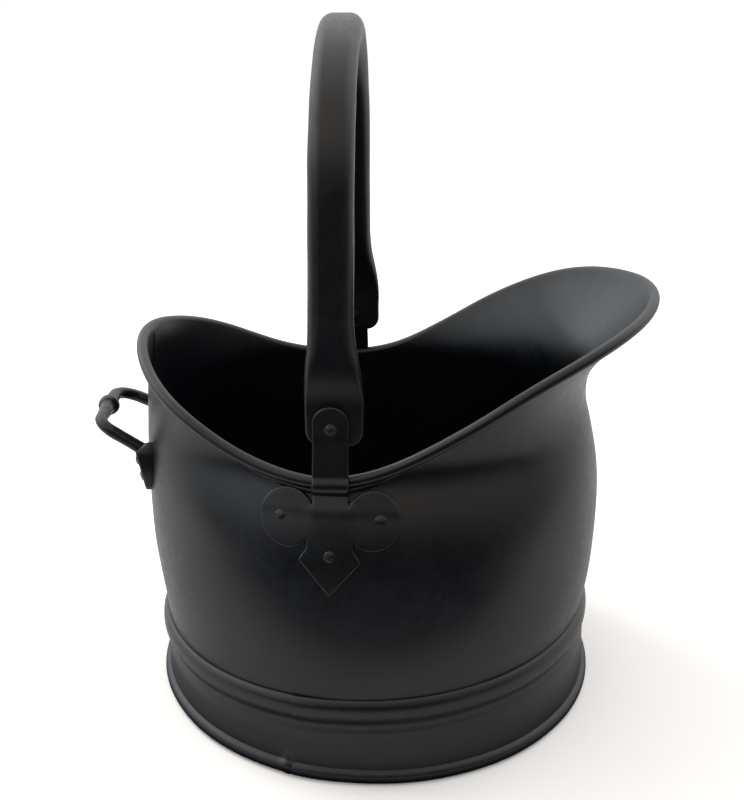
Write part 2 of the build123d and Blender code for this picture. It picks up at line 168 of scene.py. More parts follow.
# Straps and pivots
sides = (("left", 1), ("right", -1))
bail_place = -0.022
pivot_height = 0.220
pivot_half_span = 0.1135
strap_width = 0.0212
strap_sheet = 0.0024
strap_above_pivot = 0.014
strap_bend = 0.003
strap_rim_gap = 0.00035
strap_step_rise = 0.003
strap_step_in = 0.0014
strap_step_out = 0.0012
strap_step_height = 0.0005
strap_step_drop = 0.0021
strap_foot_drop = 0.0155
strap_straight = 0.006
strap_puff = 0.0006
strap_puff_height = 0.1725
strap_puff_end = 0.158
strap_puff_half_width = 0.009
strap_puff_fade = 0.007
lobe_lift = 0.0005
lobe_lift_start = 0.170
lobe_lift_end = 0.1835
lobe_fade = 0.003
strap_lap = 0.008
plate_sheet = 0.002
lobe_radius = 0.0162
lobe_offset = 0.0247
lobe_height = 0.1672
leaf_points = [(0.0140, 0.1556), (0.0137, 0.1532), (0.0146, 0.1506), (0.0166, 0.1476), (0.0180, 0.1453)]
leaf_corner = [(0.0181, 0.1447), (0.0177, 0.1440)]
leaf_tip = (0.0, 0.1242)
strap_top_count = 16
lobe_count = 60
leaf_count = 24
path_step = 0.0002
path_bend = 0.0021

# Mesh of the plates: radius of the rounded edge, the rows along it as shares of that radius, and as
# shares too how near to the outline their points and the grid's may lie
plate_edge = 0.0012
plate_edge_shares = (0.12, 0.35, 0.65, 1.0)
plate_edge_keep = 0.93
plate_edge_full = 0.999
grid_keep = 1.3
mesh_step = 0.0011
mesh_units = 1000
mesh_weld = 1e-5

# Rivets
plate_rivet_offset = 0.0291
plate_rivet_height = 0.1678
leaf_rivet_height = 0.1478
rivet_head = 0.0035
rivet_dome = 0.0011
rivet_shank = 0.002
rivet_tail = 0.0029
rivet_tail_length = 0.0009
rivet_gap = 0.00012
rivet_tail_gap = 0.0001
rivet_sink = 0.0001
rivet_slack = 0.0003
rivet_rows = 9
rivet_columns = 36
rivet_rim_share = 0.98
rivet_tail_shares = (0.7, 0.8)
rivet_noise_scale = 420
rivet_noise_apart = 7
rivet_uneven = 0.09
rivet_dents = 0.00022
rivet_dent_scale = 1.7
pivot_head = 0.0038
pivot_dome = 0.002
pivot_shank = 0.0025
pivot_tail = 0.004
pivot_tail_length = 0.0014

# Bail
bail_width = 0.0258
bail_depth = 0.018
bail_corner = 0.0082
bail_apex_height = 0.4308
bail_lean = radians(8.2)
bail_limb_start = 0.283
bail_limb_place = 0.1045
bail_end_top = 0.238
bail_end_width = 0.034
bail_end_sheet = 0.005
bail_end_edge = 0.0024
bail_end_corner = 0.009
bail_end_straight = 0.228
bail_end_drop = 0.0115
bail_end_shift = 0.002
bail_end_thin_share = 0.55
bail_end_thin_height = 0.0015
bail_side_gap = 0.0003
bail_end_middle = pivot_half_span - bail_side_gap - bail_end_sheet / 2
bail_ring = 48
bail_arc_rows = 60
bail_limb_rows = 14
bail_flare_rows = 44
bail_end_rows = 24
bail_uneven = 0.00025
bail_uneven_scale = 45

# How the bail's limb widens into its flat end: side place, height, width, depth, corner, forward shift
bail_flare = [
    (bail_limb_place, bail_limb_start, bail_width, bail_depth, bail_corner, 0),
    (0.1073, 0.2705, 0.0272, 0.0168, 0.0078, 0.0004),
    (0.1100, 0.2590, 0.0302, 0.0136, 0.0064, 0.0010),
    (0.1111, 0.2495, 0.0326, 0.0092, 0.0045, 0.0015),
    (bail_end_middle, bail_end_top, bail_end_width, bail_end_sheet, bail_end_edge, bail_end_shift),
    (bail_end_middle, bail_end_straight, bail_end_width, bail_end_sheet, bail_end_edge, bail_end_shift),
]

# Tipping handle
grip_middle = Vector((-0.1805, 0, 0.1874))
grip_half_span = 0.038
grip_reach = Vector((-0.0028, grip_half_span, -0.0022))
rod_radius = 0.0040
rod_swell = 0.0005
rod_swell_start = 0.0076
rod_swell_fade = 0.019
rod_columns = 28
rod_step = 0.0009
rod_uneven = 0.05
rod_uneven_scale = 160
bend_count = 16
grip_bend = 0.011
far_grip_bend = 0.016
knob_radius = 0.0070
knob_collar = 0.0051
knob_collar_length = 0.0026
leg_root_place = -0.1455
leg_root_height = 0.169
lug_bottom = 0.1435
lug_top = 0.177
lug_bottom_stand = 0.0042
lug_top_stand = 0.0105
lug_crown = 0.1725
lug_crown_share = 0.75
lug_least = 0.0015
lug_half_width = 0.008
lug_count = 30
lug_shares = [(0.0, 0.0), (0.58, 0.14), (0.96, 0.40), (0.92, 0.66), (0.62, 0.90), (0.0, 1.0)]
lug_rivet_slack = 0.0004

# The handle's rivets: name, height, seed of their unevenness
lug_rivets = [("upper", 0.1654, 185.4), ("lower", 0.1542, 174.2)]

# Enamel: scale, detail and roughness of each noise, and what the noise changes
cloud_noise = (14, 5, 0.6)
cloud_range = (0.3, 0.7)
grain_noise = (900, 4, 0.65)
speck_noise = (260, 3, 0.5)
speck_range = (0.35, 0.65)
wear_from = 0.35
wear_to = 0.72
cloud_matt = (-0.05, 0.06)
speck_matt = (-0.03, 0.03)
grain_strength = 0.5

# Each enamel: colour, worn colour, roughness, depth of its grain
enamels = {
    "body_black": ((0.0016, 0.0023, 0.0042), (0.0034, 0.0042, 0.0062), 0.36, 0.00006),
    "band_black": ((0.0018, 0.0023, 0.0038), (0.0038, 0.0043, 0.0058), 0.34, 0.00006),
    "strap_black": ((0.0014, 0.0019, 0.0032), (0.0030, 0.0035, 0.0047), 0.38, 0.00009),
    "bail_black": ((0.0014, 0.0020, 0.0036), (0.0032, 0.0038, 0.0052), 0.38, 0.00006),
    "rivet_black": ((0.0014, 0.0019, 0.0032), (0.0030, 0.0035, 0.0047), 0.46, 0.00009),
}

# Drawn wire
wire_noise = (120, 4, 0.5)
wire_dark = (0.16, 0.15, 0.15)
wire_pale = (0.38, 0.37, 0.36)
wire_matt = (0.3, 0.5)

# Surroundings: colours and strengths, and each window as direction axis, from, to, low, high
floor_reach = 6.0
floor_seen = (1.25, 1.22, 1.19)
floor_colour = (0.80, 0.79, 0.77)
# Dark colour that reflections see beyond the sheet's edge, and also as a painted shadow on the floor near the
# foot
room_and_shadow_colour = (0.012, 0.016, 0.028)
sheet_edge = (-0.24, -0.42)
# Radii within which reflections see the floor's painted shadow near the foot, fading out by the second
contact_shade = (0.150, 0.176)
soft_strength = 0.85
reflected = [
    ((0.90, 0.95, 1.0), [("Y", -0.35, 0.45, 0.02, 1.0)]),
    ((1.0, 0.90, 0.80), [("Z", 0.26, 0.66, 0.0, 0.9)]),
    ((0.82, 0.92, 1.0), [("X", -0.30, -0.85, 0.0, 1.5), ("Z", -0.05, 0.30, 0.0, 1.0)]),
    ((1.0, 0.90, 0.80), [("X", 0.45, 0.90, 0.0, 0.4), ("Z", -0.05, 0.30, 0.0, 1.0)]),
]

# Soft boxes: place, width, power
lamp_aim = (0, 0, 0.2)
lamps = {
    "key": ((-1.1, 0.5, 1.5), 1.0, 14),
    "fill": ((1.3, 0.9, 1.2), 1.2, 6),
}

# Materials


def node(tree, kind, **settings):
    """A new shader node with the given properties."""
    made = tree.nodes.new(kind)
    for key, value in settings.items():
        setattr(made, key, value)
    return made


def noise_of(tree, place, scale, detail, roughness):
    """A noise texture on object coordinates."""
    made = node(tree, "ShaderNodeTexNoise")
    made.inputs["Scale"].default_value = scale
    made.inputs["Detail"].default_value = detail
    made.inputs["Roughness"].default_value = roughness
    tree.links.new(place.outputs["Object"], made.inputs["Vector"])
    return made.outputs["Fac"]


def spread(tree, value, low, high, bottom, top):
    """The value between low and high, spread over bottom to top."""
    made = node(tree, "ShaderNodeMapRange")
    made.inputs["From Min"].default_value = low
    made.inputs["From Max"].default_value = high
    made.inputs["To Min"].default_value = bottom
    made.inputs["To Max"].default_value = top
    tree.links.new(value, made.inputs["Value"])
    return made.outputs["Result"]


def enamel(name, colour, worn, roughness, grain_depth):
    """Satin black enamel: cloudy sheen, fine orange peel, and a slightly paler worn shade in patches."""
    material = bpy.data.materials.new(name)
    material.use_nodes = True
    tree = material.node_tree
    shader = tree.nodes["Principled BSDF"]
    place = node(tree, "ShaderNodeTexCoord")
    cloud = noise_of(tree, place, *cloud_noise)
    grain = noise_of(tree, place, *grain_noise)
    speck = noise_of(tree, place, *speck_noise)
    ramp = node(tree, "ShaderNodeValToRGB")
    ramp.color_ramp.elements[0].position = wear_from
    ramp.color_ramp.elements[0].color = (*colour, 1)
    ramp.color_ramp.elements[1].position = wear_to
    ramp.color_ramp.elements[1].color = (*worn, 1)
    tree.links.new(cloud, ramp.inputs["Fac"])
    tree.links.new(ramp.outputs["Color"], shader.inputs["Base Color"])
    matt = node(tree, "ShaderNodeMath", operation="ADD")
    cloudy = [roughness + change for change in cloud_matt]
    tree.links.new(spread(tree, cloud, *cloud_range, *cloudy), matt.inputs[0])
    tree.links.new(spread(tree, speck, *speck_range, *speck_matt), matt.inputs[1])
    tree.links.new(matt.outputs["Value"], shader.inputs["Roughness"])
    bump = node(tree, "ShaderNodeBump")
    bump.inputs["Strength"].default_value = grain_strength
    bump.inputs["Distance"].default_value = grain_depth
    tree.links.new(grain, bump.inputs["Height"])
    tree.links.new(bump.outputs["Normal"], shader.inputs["Normal"])
    return material


def steel(name):
    """Bare drawn wire."""
    material = bpy.data.materials.new(name)
    material.use_nodes = True
    tree = material.node_tree
    shader = tree.nodes["Principled BSDF"]
    shader.inputs["Metallic"].default_value = 1
    place = node(tree, "ShaderNodeTexCoord")
    cloud = noise_of(tree, place, *wire_noise)
    ramp = node(tree, "ShaderNodeValToRGB")
    ramp.color_ramp.elements[0].color = (*wire_dark, 1)
    ramp.color_ramp.elements[1].color = (*wire_pale, 1)
    tree.links.new(cloud, ramp.inputs["Fac"])
    tree.links.new(ramp.outputs["Color"], shader.inputs["Base Color"])
    tree.links.new(spread(tree, cloud, *cloud_range, *wire_matt), shader.inputs["Roughness"])
    return material


materials = {name: enamel(name, *look) for name, look in enamels.items()}
materials["wire_steel"] = steel("wire_steel")

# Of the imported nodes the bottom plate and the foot's wire stay as they are
for record_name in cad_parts:
    slot_name = "body_black" if record_name == "bottom_plate" else "wire_steel"
    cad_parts[record_name].data.materials.clear()
    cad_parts[record_name].data.materials.append(materials[slot_name])


# Mesh helpers


def piece(name, points, faces, slot_name, body, *nodes, sharp=50):
    """A closed mesh as a piece that rides on the body and stands for the CAD nodes."""
    mesh = bpy.data.meshes.new(name)
    mesh.from_pydata([tuple(point) for point in points], [], faces)
    tidy = bmesh.new()
    tidy.from_mesh(mesh)
    bmesh.ops.recalc_face_normals(tidy, faces=tidy.faces)
    tidy.to_mesh(mesh)
    tidy.free()
    mesh.shade_smooth()
    mesh.set_sharp_from_angle(angle=radians(sharp))
    mesh.materials.append(materials[slot_name])
    made = bpy.data.objects.new(name, mesh)
    scene.collection.objects.link(made)
    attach(made, body)
    if nodes:
        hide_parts(*nodes)
    return made


def grid_faces(rows, columns, close_rows, close_columns):
    """Quads between the points of a grid that is listed row by row."""
    faces = []
    for row in range(rows if close_rows else rows - 1):
        for column in range(columns if close_columns else columns - 1):
            here, along = row * columns, (column + 1) % columns
            above = (row + 1) % rows * columns
            faces.append((here + column, here + along, above + along, above + column))
    return faces


def unit(vectors):
    """The vectors with length 1."""
    return vectors / np.linalg.norm(vectors, axis=-1, keepdims=True)


def across(vectors, along):
    """The part of each vector that is square to along, with length 1."""
    return unit(vectors - along * np.sum(vectors * along, axis=-1, keepdims=True))


def smooth(share):
    """A soft step from 0 to 1."""
    share = np.clip(share, 0, 1)
    return share * share * (3 - 2 * share)


def bends_of(knots, values):
    """Second derivatives of the natural cubic through the values at the knots."""
    gaps = np.diff(knots)
    slopes = np.diff(values, axis=0) / gaps[:, None]
    system = np.eye(len(knots))
    right = np.zeros_like(values)
    for i in range(1, len(knots) - 1):
        system[i, i - 1 : i + 2] = gaps[i - 1], 2 * (gaps[i - 1] + gaps[i]), gaps[i]
        right[i] = 6 * (slopes[i] - slopes[i - 1])
    return np.linalg.solve(system, right)


def cubic(knots, values, bends, where):
    """The natural cubic's values at each place."""
    i = np.clip(np.searchsorted(knots, where) - 1, 0, len(knots) - 2)
    gap = knots[i + 1] - knots[i]
    after = ((where - knots[i]) / gap)[..., None]
    before = 1 - after
    bow = ((before**3 - before) * bends[i] + (after**3 - after) * bends[i + 1]) * (gap**2 / 6)[..., None]
    return before * values[i] + after * values[i + 1] + bow


def marks_of(points):
    """How far along the line each of its points lies."""
    return np.concatenate([[0], np.cumsum(np.linalg.norm(np.diff(points, axis=0), axis=1))])


def curved(points, count):
    """The smooth curve through the points, as count points."""
    marks = marks_of(points)
    return cubic(marks, points, bends_of(marks, points), np.linspace(0, marks[-1], count))


def halved(low, high, is_low):
    """The place between low and high at which is_low stops being true, by halving."""
    for _ in range(halvings):
        middle = (low + high) / 2
        under = is_low(middle)
        low = np.where(under, middle, low)
        high = np.where(under, high, middle)
    return (low + high) / 2


# The body's wall as a formula


def foot_level(height):
    """Shares of a round level within the foot band, where the body leans back above its bottom."""
    middle = -max(0, height - bottom_height) * tan(band_lean) / base_radius
    return height / spout_height, 1 - middle, 1 + middle, 1, middle


foot_levels = [foot_level(height) for height in (body_bottom, (body_bottom + band_top) / 2, band_top)]
levels = np.array(foot_levels + body_shares)
level_heights = levels[:, 0] * spout_height
level_sizes = levels[:, 1:] * base_radius
level_bends = bends_of(level_heights, level_sizes)
mouth = np.array(mouth_shares) * (base_radius, spout_height)
mouth_fine = curved(mouth, mouth_count)


def waves(turns, heights):
    """Slow hand-formed unevenness of the sheet, fading out towards the foot."""
    total = 0
    for share, around, upward, start in wave_shares:
        total = total + share * np.sin(around * turns + upward * heights / spout_height + start)
    return wave_depth * total * smooth((heights - band_top) / (2 * band_top))


def wall(turns, heights, grow=0.0):
    """Points of the body's outer face, moved outward by grow."""
    turns, heights = np.broadcast_arrays(turns, heights)
    back, front, side, middle = np.moveaxis(cubic(level_heights, level_sizes, level_bends, heights), -1, 0)
    grow = grow + waves(turns, heights)
    ahead = smooth(0.5 + side_blend * np.cos(turns))
    reach = ahead * (front - middle) + (1 - ahead) * (back + middle) + grow
    return np.stack([middle + reach * np.cos(turns), (side + grow) * np.sin(turns), heights], axis=-1)


def wall_normal(turns, heights):
    """Outward normals of the wall."""
    round_it = wall(turns + tiny_step, heights) - wall(turns - tiny_step, heights)
    up_it = wall(turns, heights + tiny_step) - wall(turns, heights - tiny_step)
    return unit(np.cross(round_it, up_it))


def mouth_height(x):
    """Height of the mouth's cut at a forward place."""
    return np.interp(x, mouth_fine[:, 0], mouth_fine[:, 1])


def rim_heights(turns):
    """Height at which the wall meets the mouth."""
    low = np.full_like(turns, mouth[:, 1].min() - bead_radius)
    high = np.full_like(turns, mouth[:, 1].max() + 3 * bead_radius)
    return halved(low, high, lambda height: height < mouth_height(wall(turns, height)[:, 0]))


def turn_at(x, height):
    """The turn on the left side at which the wall has the forward place x."""
    return halved(np.zeros_like(x), np.full_like(x, pi), lambda turn: wall(turn, height)[..., 0] > x)


def wall_side(x, height):
    """Half width of the body at a forward place and height."""
    x, height = np.broadcast_arrays(np.asarray(x, float), np.asarray(height, float))
    return wall(turn_at(x, height), height)[..., 1]


# Body shell

body_turns = np.linspace(0, 2 * pi, body_columns, endpoint=False)
edge_heights = rim_heights(body_turns)
edge = wall(body_turns, edge_heights)
edge_along = unit(np.roll(edge, -1, axis=0) - np.roll(edge, 1, axis=0))
edge_out = across(wall_normal(body_turns, edge_heights), edge_along)
edge_down = np.cross(edge_along, edge_out)
edge_down *= -np.sign(edge_down[:, 2:])
bead_middle = edge + edge_out * bead_stand


def below_bead(depth, stand):
    """Wall points at a depth below the bead's middle, standing off the wall."""
    heights = edge[:, 2] + edge_down[:, 2] * depth
    return wall(body_turns, heights) + wall_normal(body_turns, heights) * stand


def body_rows():
    """Rows of the body: up the outside, over the roll and bead, down the inside."""
    top = edge[:, 2] + edge_down[:, 2] * (roll_depth + roll_radius)
    rows = []
    for share in np.linspace(0, 1, wall_rows, endpoint=False):
        rows.append(wall(body_turns, body_bottom + share * (top - body_bottom)))
    for turn in np.linspace(roll_start, roll_end, roll_rows):
        rows.append(below_bead(roll_depth - roll_radius * sin(turn), roll_stand + roll_radius * cos(turn)))
    start = acos((roll_stand + roll_radius * cos(roll_end) - bead_stand) / bead_radius)
    for share in np.linspace(0, 1, bead_rows):
        angle = start - share * (start + pi)
        rows.append(bead_middle + bead_radius * (cos(angle) * edge_out + sin(angle) * edge_down))
    top = edge[:, 2] + edge_down[:, 2] * bead_radius
    for share in np.linspace(0, 1, wall_rows):
        heights = top + share * (body_bottom - top)
        rows.append(wall(body_turns, heights) - wall_normal(body_turns, heights) * body_sheet)
    return rows


def body():
    """The body sheet with its rolled rim."""
    rows = body_rows()
    faces = grid_faces(len(rows), body_columns, True, True)
    piece("bucket_body", np.concatenate(rows), faces, "body_black", "bucket", "body_shell", sharp=30)


def rim_wire():
    """The wire that the rim is rolled round."""
    rows = []
    for turn in np.linspace(0, 2 * pi, wire_sides, endpoint=False):
        rows.append(bead_middle + rim_wire_radius * (cos(turn) * edge_out + sin(turn) * edge_down))
    faces = grid_faces(len(rows), body_columns, True, True)
    piece("rim_wire_round", np.concatenate(rows), faces, "wire_steel", "bucket", "rim_wire")


def lap_seam():
    """The overlap of the body sheet, seen inside at the back."""
    heights = np.linspace(seam_low, seam_high, seam_rows)
    edges = [-seam_width, -seam_width, -seam_width / 2, -body_sheet / 2, 0]
    depths = [0, body_sheet, body_sheet, body_sheet, 0]
    rows = []
    for height in heights:
        lean = max(seam_edge_least, seam_edge + (height - seam_edge_height) * seam_lean)
        back = wall(pi, height)[0]
        row = []
        for side, depth in zip(edges, depths):
            turn = pi - asin((side + lean) / abs(back))
            row.append(wall(turn, height, -seam_bed - depth))
        rows.append(np.array(row))
    faces = grid_faces(len(rows), len(edges), False, True)
    first = tuple(range(len(edges)))
    last = tuple(range((len(rows) - 1) * len(edges), len(rows) * len(edges)))
    piece("back_lap_seam", np.concatenate(rows), faces + [first, last], "body_black", "bucket", sharp=30)


# Foot band


def band_profile():
    """The band's section: outside from the top edge to the bead, round the bead, and up the inside."""
    outer = swage_points + [(cove_stand, height) for height in flat_heights]
    low = flat_heights[-1]
    for share in band_flare_shares:
        outer.append((cove_stand + (band_flare - cove_stand) * share, low + (band_neck - low) * share))
    bead = foot_bead_place - band_radius
    start = acos((outer[-1][0] - bead) / foot_bead_radius)
    turns = np.linspace(start, foot_bead_end, foot_bead_rows)
    circle = [(bead + foot_bead_radius * cos(a), foot_bead_height + foot_bead_radius * sin(a)) for a in turns]
    circle = [(x, max(z, 0)) for x, z in circle]
    inner = [(-band_sheet, height) for height in (*band_inside_heights, band_top - band_edge_drop)]
    inner += [(-band_edge_sheet, band_top)]
    return np.array(outer + circle + inner)


def band():
    """The band's section turned round the foot, with its lap step, crumpled corner and lean."""
    profile = band_profile()
    step = 360 / band_columns
    angles = [seam_angle + step * i for i in range(1, band_columns)]
    angles = [seam_angle + seam_slit, *angles, seam_angle + 360 - seam_slit]
    low = smooth((crumple_top - profile[:, 1]) / crumple_fade)
    points = []
    for angle in angles:
        past = angle - seam_angle
        lift = lap_step * (1 - smooth(past / lap_fade))
        crumple = np.exp(-((past - 360 + crumple_place) / crumple_spread) ** 2)
        sway = sum(depth * sin(radians(count * angle + start)) for depth, count, start in sway_waves)
        radii = band_radius + profile[:, 0] + lift + sway + low * crumple * crumple_out
        heights = profile[:, 1] + low * crumple * crumple_up * (profile[:, 1] > crumple_floor)
        turn = radians(angle)
        shift = -tan(band_lean) * np.maximum(0, heights - bottom_height)
        leaning = smooth((heights - lean_start) / (lean_full - lean_start))
        rise = sin(band_lean) * radii * cos(turn) * leaning
        points += list(zip(radii * cos(turn) + shift, radii * sin(turn), heights + rise))
    faces = grid_faces(len(angles), len(profile), True, True)
    piece("foot_band_rolled", points, faces, "band_black", "bucket", "foot_band", sharp=40)


# Straps with their plates


def inside(points, outline):
    """Which points lie in the closed outline."""
    found = np.zeros(len(points), bool)
    after = np.roll(outline, -1, axis=0)
    for (x1, y1), (x2, y2) in zip(outline, after):
        spans = (y1 > points[:, 1]) != (y2 > points[:, 1])
        with np.errstate(divide="ignore", invalid="ignore"):
            crossing = x1 + (points[:, 1] - y1) * (x2 - x1) / (y2 - y1)
        found ^= spans & (points[:, 0] < crossing)
    return found


def edge_distance(points, outline):
    """Distance of each point from the outline."""
    nearest = np.full(len(points), np.inf)
    after = np.roll(outline, -1, axis=0)
    for start, end in zip(outline, after):
        along = end - start
        share = np.clip((points - start) @ along / max(along @ along, 1e-18), 0, 1)
        nearest = np.minimum(nearest, np.linalg.norm(points - start - share[:, None] * along, axis=1))
    return nearest


def resampled(points, step):
    """The closed outline with points every step."""
    points = np.asarray(points, float)
    loop = np.vstack([points, points[:1]])
    marks = marks_of(loop)
    count = int(marks[-1] / step)
    places = np.linspace(0, marks[-1], count, endpoint=False)
    return np.stack([np.interp(places, marks, loop[:, axis]) for axis in (0, 1)], axis=1)


def slab(name, outline, surface, thickness, slot_name, *nodes):
    """A plate of the given outline laid on a surface, with rounded edges. surface gives points for flat
    coordinates and heights above it, and thickness gives its full height there."""
    outline = resampled(outline, mesh_step / 2)
    along = np.roll(outline, -1, axis=0) - np.roll(outline, 1, axis=0)
    normal = unit(np.stack([-along[:, 1], along[:, 0]], axis=1))
    if not inside(outline[:1] + normal[:1] * plate_edge * plate_edge_shares[0], outline)[0]:
        normal = -normal
    inner = []
    for share in plate_edge_shares:
        ring = outline + normal * plate_edge * share
        keep = inside(ring, outline) & (edge_distance(ring, outline) > plate_edge * share * plate_edge_keep)
        inner.append(ring[keep])
    low, high = outline.min(axis=0), outline.max(axis=0)
    columns, rows = np.meshgrid(np.arange(low[0], high[0], mesh_step), np.arange(low[1], high[1], mesh_step))
    columns[::2] += mesh_step / 2
    grid = np.stack([columns.ravel(), rows.ravel()], axis=1)
    keep = inside(grid, outline) & (edge_distance(grid, outline) > plate_edge * grid_keep)
    flat = np.vstack([outline, *inner, grid[keep]])
    loop = list(range(len(outline)))
    made = geometry.delaunay_2d_cdt([Vector(p) * mesh_units for p in flat], [], [loop], 1, mesh_weld)
    flat = np.array([tuple(p) for p in made[0]]) / mesh_units
    triangles = [tuple(face) for face in made[2]]
    count = len(flat)
    depth = np.clip(1 - edge_distance(flat, outline) / plate_edge, 0, 1)
    full = thickness(flat[:, 0], flat[:, 1])
    front = full - plate_edge * (1 - np.sqrt(1 - depth**2 * plate_edge_full))
    points = np.vstack([surface(flat, front), surface(flat, np.zeros(count))])
    faces = triangles + [tuple(count + i for i in reversed(face)) for face in triangles]
    used = {pair: True for face in triangles for pair in zip(face, face[1:] + face[:1])}
    for start, end in used:
        if (end, start) not in used:
            faces.append((end, start, count + start, count + end))
    return piece(name, points, faces, slot_name, "bucket", *nodes, sharp=60)


rim_turns = np.linspace(0, pi, rim_count)
rim_tops = rim_heights(rim_turns)
rim_points = wall(rim_turns, rim_tops) + wall_normal(rim_turns, rim_tops) * bead_stand
rim_near = rim_points[np.argmin(np.abs(rim_points[:, 0] - bail_place - strap_width / 2))]
strap_out = rim_near[1] + bead_radius + strap_rim_gap
strap_top = pivot_height + strap_above_pivot
strap_foot = rim_near[2] - strap_foot_drop
lap_height = strap_foot + strap_lap
strap_line = [
    (strap_top, pivot_half_span),
    (pivot_height - strap_straight, pivot_half_span),
    (rim_near[2] + strap_step_rise, strap_out - strap_step_in),
    (rim_near[2] - strap_step_height, strap_out + strap_step_out),
    (rim_near[2] - strap_step_drop, strap_out + strap_step_out),
    (lap_height, wall_side(bail_place, lap_height) + fit_gap),
]


def strap_path():
    """Heights from the leaf's tip to the strap's top and the back face's side place at each."""
    heights = np.arange(leaf_tip[1] - strap_bend * 2, strap_top + strap_bend * 2, path_step)
    places = np.interp(heights, [z for z, _ in reversed(strap_line)], [y for _, y in reversed(strap_line)])
    below = heights < lap_height
    places[below] = wall_side(bail_place, heights[below]) + fit_gap
    reach = int(path_bend / path_step)
    kernel = np.hanning(2 * reach + 3)[1:-1]
    padded = np.pad(places, reach, mode="edge")
    return heights, np.convolve(padded, kernel / kernel.sum(), mode="valid")


path_heights, path_places = strap_path()


def strap_back(flat):
    """Side place of the strap's and plate's back face, for offsets from the strap's middle and heights."""
    offsets, heights = flat[:, 0], flat[:, 1]
    middle = np.interp(heights, path_heights, path_places)
    bow = wall_side(bail_place + offsets, heights) - wall_side(bail_place, heights)
    start = rim_near[2] - strap_step_drop
    upper = (lap_height - heights) / (lap_height - strap_puff_height)
    lower = (heights - strap_puff_end) / (strap_puff_height - strap_puff_end)
    beside = smooth((np.abs(offsets) - strap_puff_half_width) / strap_puff_fade)
    puff = strap_puff * np.clip(np.minimum(upper, lower), 0, 1) * (1 - beside)
    strap = middle + bow * smooth((start - heights) / (start - lap_height)) + puff
    lift = lobe_lift * smooth((heights - lobe_lift_start) / (lobe_lift_end - lobe_lift_start))
    lobe = wall_side(bail_place + offsets, heights) + fit_gap + lift + puff
    lobe_share = smooth((np.abs(offsets) - strap_width / 2) / lobe_fade)
    return strap * (1 - lobe_share) + lobe * lobe_share


def strap_surface(side):
    """A mapping from flat offsets and heights to points on the left or right strap."""

    def place(flat, stand):
        here = strap_back(flat)
        slope_x = (strap_back(flat + (tiny_step, 0)) - here) / tiny_step
        slope_z = (strap_back(flat + (0, tiny_step)) - here) / tiny_step
        normal = unit(np.stack([-slope_x, np.ones(len(flat)), -slope_z], axis=1))
        back = np.stack([bail_place + flat[:, 0], here, flat[:, 1]], axis=1)
        return (back + normal * np.asarray(stand)[:, None]) * (1, side, 1)

    return place


def strap_thickness(offsets, heights):
    """Thickness of the strap, which thins into the plate."""
    share = smooth((heights - lobe_height) / (strap_foot - lobe_height))
    return plate_sheet + (strap_sheet - plate_sheet) * share


def strap_outline():
    """Half of the outline from the top down to the leaf's tip, and its mirror image back up."""
    half_width = strap_width / 2
    turns = np.linspace(0, pi / 2, strap_top_count)
    points = [(half_width * sin(a), strap_top - half_width + half_width * cos(a)) for a in turns]
    notch_angle = pi - acos((lobe_offset - half_width) / lobe_radius)
    low_angle = -pi + acos((lobe_offset - leaf_points[0][0]) / lobe_radius)
    turns = np.linspace(notch_angle, low_angle, lobe_count)
    points += [(lobe_offset + lobe_radius * cos(a), lobe_height + lobe_radius * sin(a)) for a in turns]
    points += [tuple(point) for point in curved(np.array(leaf_points), leaf_count)]
    points += [*leaf_corner, leaf_tip]
    mirrored = [(-x, z) for x, z in reversed(points[1:-1])]
    return points + mirrored


def straps():
    """Both straps, each in one piece with its plate."""
    outline = strap_outline()
    for name, side in sides:
        surface = strap_surface(side)
        slab(f"{name}_strap_plate", outline, surface, strap_thickness, "strap_black", f"{name}_strap")


# Rivets


def rivet(name, seat, normal, grip, head, dome, shank, tail, tail_length, seed):
    """A hand-closed rivet: an uneven domed head, a shank and a flat tail."""
    ball = (head**2 + dome**2) / (2 * dome)
    profile = []
    for share in np.linspace(0, 1, rivet_rows):
        angle = share * asin(min(1, head / ball))
        profile.append((ball * sin(angle), dome - ball * (1 - cos(angle))))
    profile += [(head * rivet_rim_share, -rivet_gap), (shank, -rivet_gap), (shank, -grip)]
    profile += [(tail, -grip - rivet_tail_gap), (tail, -grip - tail_length * rivet_tail_shares[0])]
    profile += [(tail * rivet_tail_shares[1], -grip - tail_length), (0, -grip - tail_length)]
    out = Vector(normal).normalized()
    side = out.orthogonal().normalized()
    other = out.cross(side)
    apart = Vector((seed * rivet_noise_apart, 0, 0))
    points = []
    for radius, height in profile:
        for column in range(rivet_columns):
            angle = 2 * pi * column / rivet_columns
            spot = Vector((radius * cos(angle), radius * sin(angle), height)) * rivet_noise_scale + apart
            dent = rivet_dents * noise.noise(spot * rivet_dent_scale) if height > 0 else 0
            reach = radius * (1 + rivet_uneven * noise.noise(spot))
            way = side * (reach * cos(angle)) + other * (reach * sin(angle))
            points.append(Vector(seat) + out * (height + dent) + way)
    faces = grid_faces(len(profile), rivet_columns, False, True)
    piece(f"{name}_head", points, faces, "rivet_black", "bucket", name)


def plate_rivet(name, seat, normal, grip, seed):
    """One of the small rivets that hold a plate or lug to the body."""
    rivet(name, seat, normal, grip, rivet_head, rivet_dome, rivet_shank, rivet_tail, rivet_tail_length, seed)


